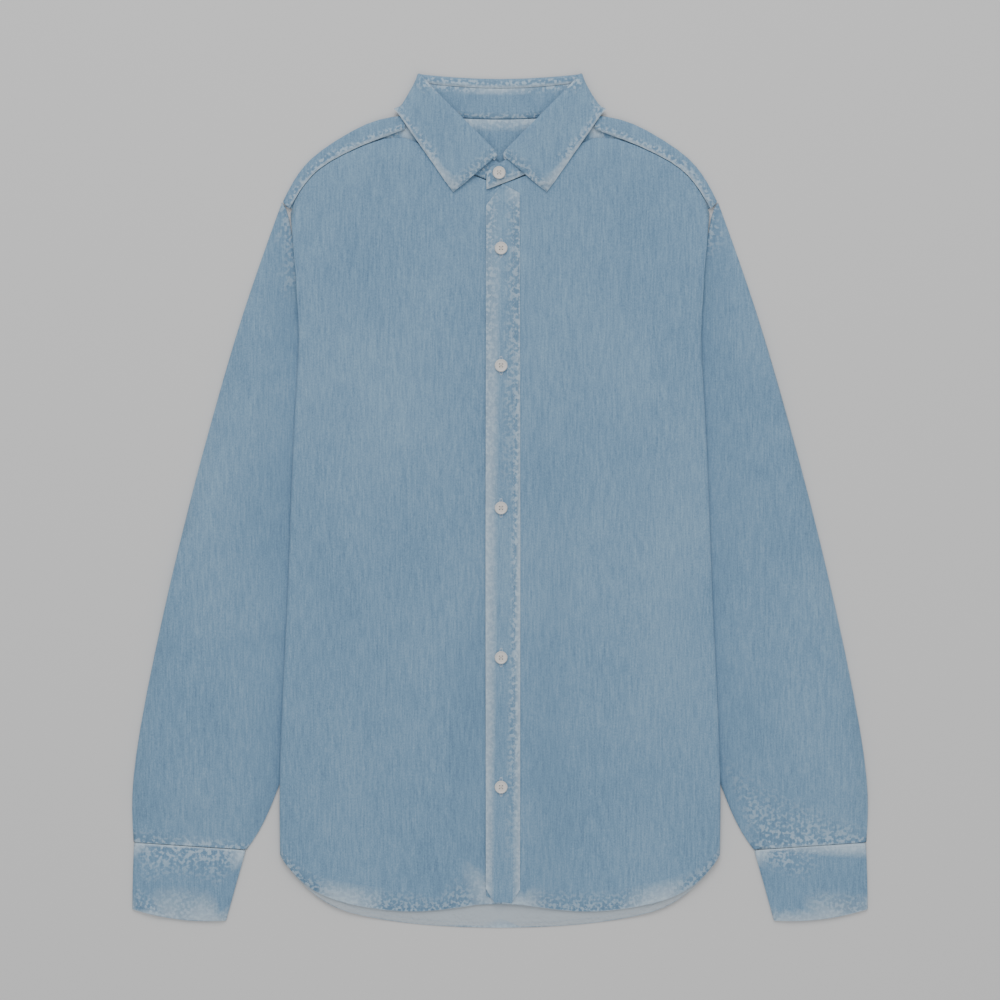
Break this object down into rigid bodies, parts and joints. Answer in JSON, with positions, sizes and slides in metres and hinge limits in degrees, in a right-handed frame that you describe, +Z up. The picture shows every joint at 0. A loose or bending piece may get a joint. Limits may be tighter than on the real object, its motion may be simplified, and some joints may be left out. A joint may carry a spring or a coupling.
{
  "type": "long-sleeved denim shirt",
  "caption": "Washed blue denim shirt laid flat and buttoned, with a pointed collar, placket, yoke, long sleeves, cuffs and a curved tail.",
  "frame": {"origin": "on the surface that the shirt lies on, under the middle of its bounding box", "axes": "+Z up out of the front, +Y towards the collar, +X towards the wearer's left sleeve"},
  "size_m": [0.6772, 0.7856, 0.0112],
  "materials": {
    "denim": "washed light blue twill",
    "button": "off-white, slightly pearly"
  },
  "bodies": {
    "root": {"back": "denim", "back_yoke": "denim", "front_left": "denim", "front_right": "denim", "placket": "denim", "collar_stand": "denim", "collar_leaf": "denim", "sleeve_left": "denim", "sleeve_right": "denim", "cuff_left": "denim", "cuff_right": "denim", "button_1": "button", "button_2": "button", "button_3": "button", "button_4": "button", "button_5": "button", "button_collar": "button"}
  },
  "joints": []
}
